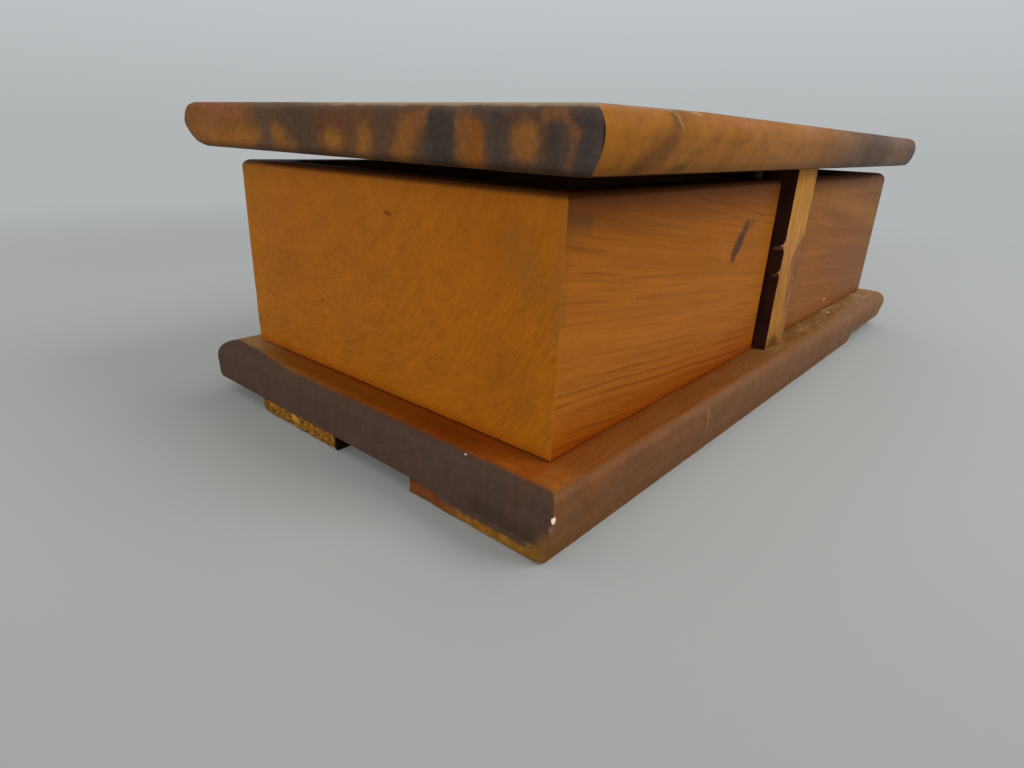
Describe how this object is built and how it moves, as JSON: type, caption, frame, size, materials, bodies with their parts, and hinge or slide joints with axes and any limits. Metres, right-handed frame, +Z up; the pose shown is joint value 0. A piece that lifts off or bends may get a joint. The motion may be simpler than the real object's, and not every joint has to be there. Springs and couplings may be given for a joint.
{
  "type": "swing-tray wooden box",
  "caption": "Wooden box whose two hollow block trays swing out sideways from under a fixed lid carried by a central divider.",
  "frame": {"origin": "centre of the bounding box in X and Y, at the underside of the runners", "axes": "+X to the right side, where both trays swing out; +Y to the rear; +Z up"},
  "size_m": [0.133, 0.251, 0.0801],
  "materials": {
    "base_wood": "stained and waxed, dusty",
    "lid_wood": "stained and polished, figured",
    "front_tray_wood": "satin varnish",
    "rear_tray_wood": "satin varnish, dull",
    "divider_wood": "raw and sawn",
    "raw_wood": "raw",
    "steel": "plain",
    "brass": "dull"
  },
  "bodies": {
    "frame": {"base_board": "base_wood", "left_runner": "raw_wood", "right_runner": "raw_wood", "left_runner_pins": "steel", "right_runner_pins": "steel", "divider_board": "divider_wood", "base_screws": "steel", "lid_board": "lid_wood", "lid_dowels": "raw_wood", "front_pivot_rod": "steel", "rear_pivot_rod": "steel", "front_washer": "brass", "rear_washer": "brass"},
    "front_tray": {"front_tray": "front_tray_wood"},
    "rear_tray": {"rear_tray": "rear_tray_wood"}
  },
  "joints": [
    {"name": "front_tray_swing", "type": "hinge", "parent": "frame", "child": "front_tray", "pos_m": [0.0485, -0.01653, 0.04], "axis": [0, 0, 1], "range_deg": [-0.5, 94.5]},
    {"name": "rear_tray_swing", "type": "hinge", "parent": "frame", "child": "rear_tray", "pos_m": [0.0485, 0.01653, 0.04], "axis": [0, 0, -1], "range_deg": [0, 95]}
  ]
}
